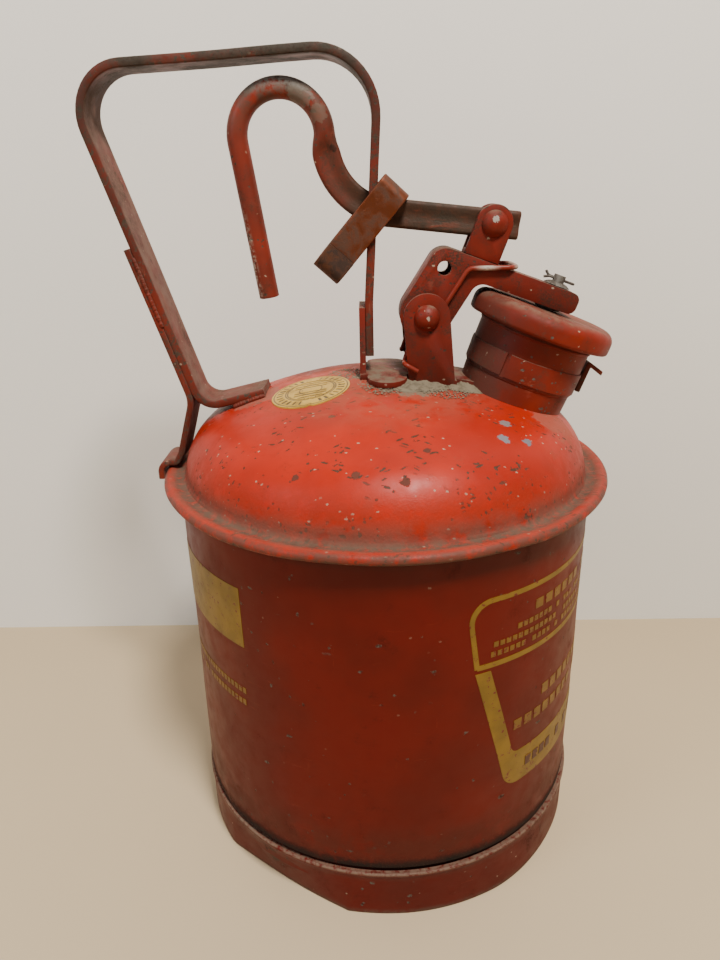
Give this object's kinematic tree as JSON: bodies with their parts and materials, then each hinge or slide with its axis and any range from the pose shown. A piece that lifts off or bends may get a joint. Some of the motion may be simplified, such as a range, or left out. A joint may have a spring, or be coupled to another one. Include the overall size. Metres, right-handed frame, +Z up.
{
  "type": "safety gas can",
  "caption": "Red metal safety can with a domed top, tilted spring-closed spout lid, bail handle and a hook trigger that swings the lid open",
  "frame": {"origin": "on the floor at the axis of the can body", "axes": "+Z up along the can axis, +X the way the spout leans, the mechanism lies in the plane Y = 0"},
  "size_m": [0.2063, 0.19, 0.3308],
  "materials": {
    "red_body": "dull red enamel, scuffed",
    "red_dome": "glossy orange-red enamel, chipped",
    "red_spout": "dusty red enamel",
    "red_mechanism": "brownish-red enamel",
    "red_lever": "worn red enamel over steel",
    "red_handle": "worn brownish-red enamel",
    "seal_brass": "dull gold",
    "copper_strip": "tarnished copper",
    "dark_steel": "dark oiled",
    "zinc_steel": "dull zinc",
    "spring_steel": "chipped paint over steel",
    "zinc_mesh": "bare perforated metal",
    "gasket_rubber": "matt black"
  },
  "bodies": {
    "root": {"body_shell": "red_body", "bottom_head": "red_body", "foot_band": "red_body", "top_dome": "red_dome", "approval_seal": "seal_brass", "neck_collar": "red_spout", "spout_neck": "red_spout", "neck_band": "red_spout", "funnel_catch": "dark_steel", "flame_arrester": "zinc_mesh", "arrester_ring": "zinc_mesh", "fulcrum_bracket": "red_mechanism", "pivot_rivet": "red_mechanism", "bail_handle": "red_handle", "handle_front_leg": "red_handle", "handle_brace": "red_handle"},
    "arm": {"lid_arm": "red_mechanism", "lever_clevis": "red_mechanism", "lever_rivet": "red_mechanism", "closing_spring": "spring_steel"},
    "lid_assembly": {"lid": "red_spout", "lid_gasket": "gasket_rubber", "gasket_retainer": "zinc_steel", "lid_stud": "zinc_steel", "lid_spring": "dark_steel", "stud_washer": "red_spout", "cotter_pin": "zinc_steel"},
    "trigger": {"trigger_lever": "red_lever"},
    "ring": {"keeper_ring": "copper_strip"}
  },
  "joints": [
    {"name": "arm_hinge", "type": "hinge", "parent": "root", "child": "arm", "pos_m": [0.0172, 0, 0.2345], "axis": [0, -1, 0], "range_deg": [0, 25], "stiffness_Nm_per_rad": 0.4, "springref_deg": -45.84, "deforming": ["closing_spring"]},
    {"name": "trigger_hinge", "type": "hinge", "parent": "arm", "child": "trigger", "pos_m": [0.04373, 0, 0.26846], "axis": [0, -1, 0], "range_deg": [-15, 0]},
    {"name": "lid_swivel", "type": "hinge", "parent": "arm", "child": "lid_assembly", "pos_m": [0.064, 0, 0.2265], "axis": [0.342, 0, 0.9397], "continuous": true},
    {"name": "ring_slide", "type": "slide", "parent": "root", "child": "ring", "axis": [0, 0, 1], "range_m": [0, 0.0042]}
  ],
  "couplings": [
    {"joint": "trigger_hinge", "follows": "arm_hinge", "ratio": -0.6},
    {"joint": "ring_slide", "follows": "arm_hinge", "m_per_rad": 0.00871}
  ]
}
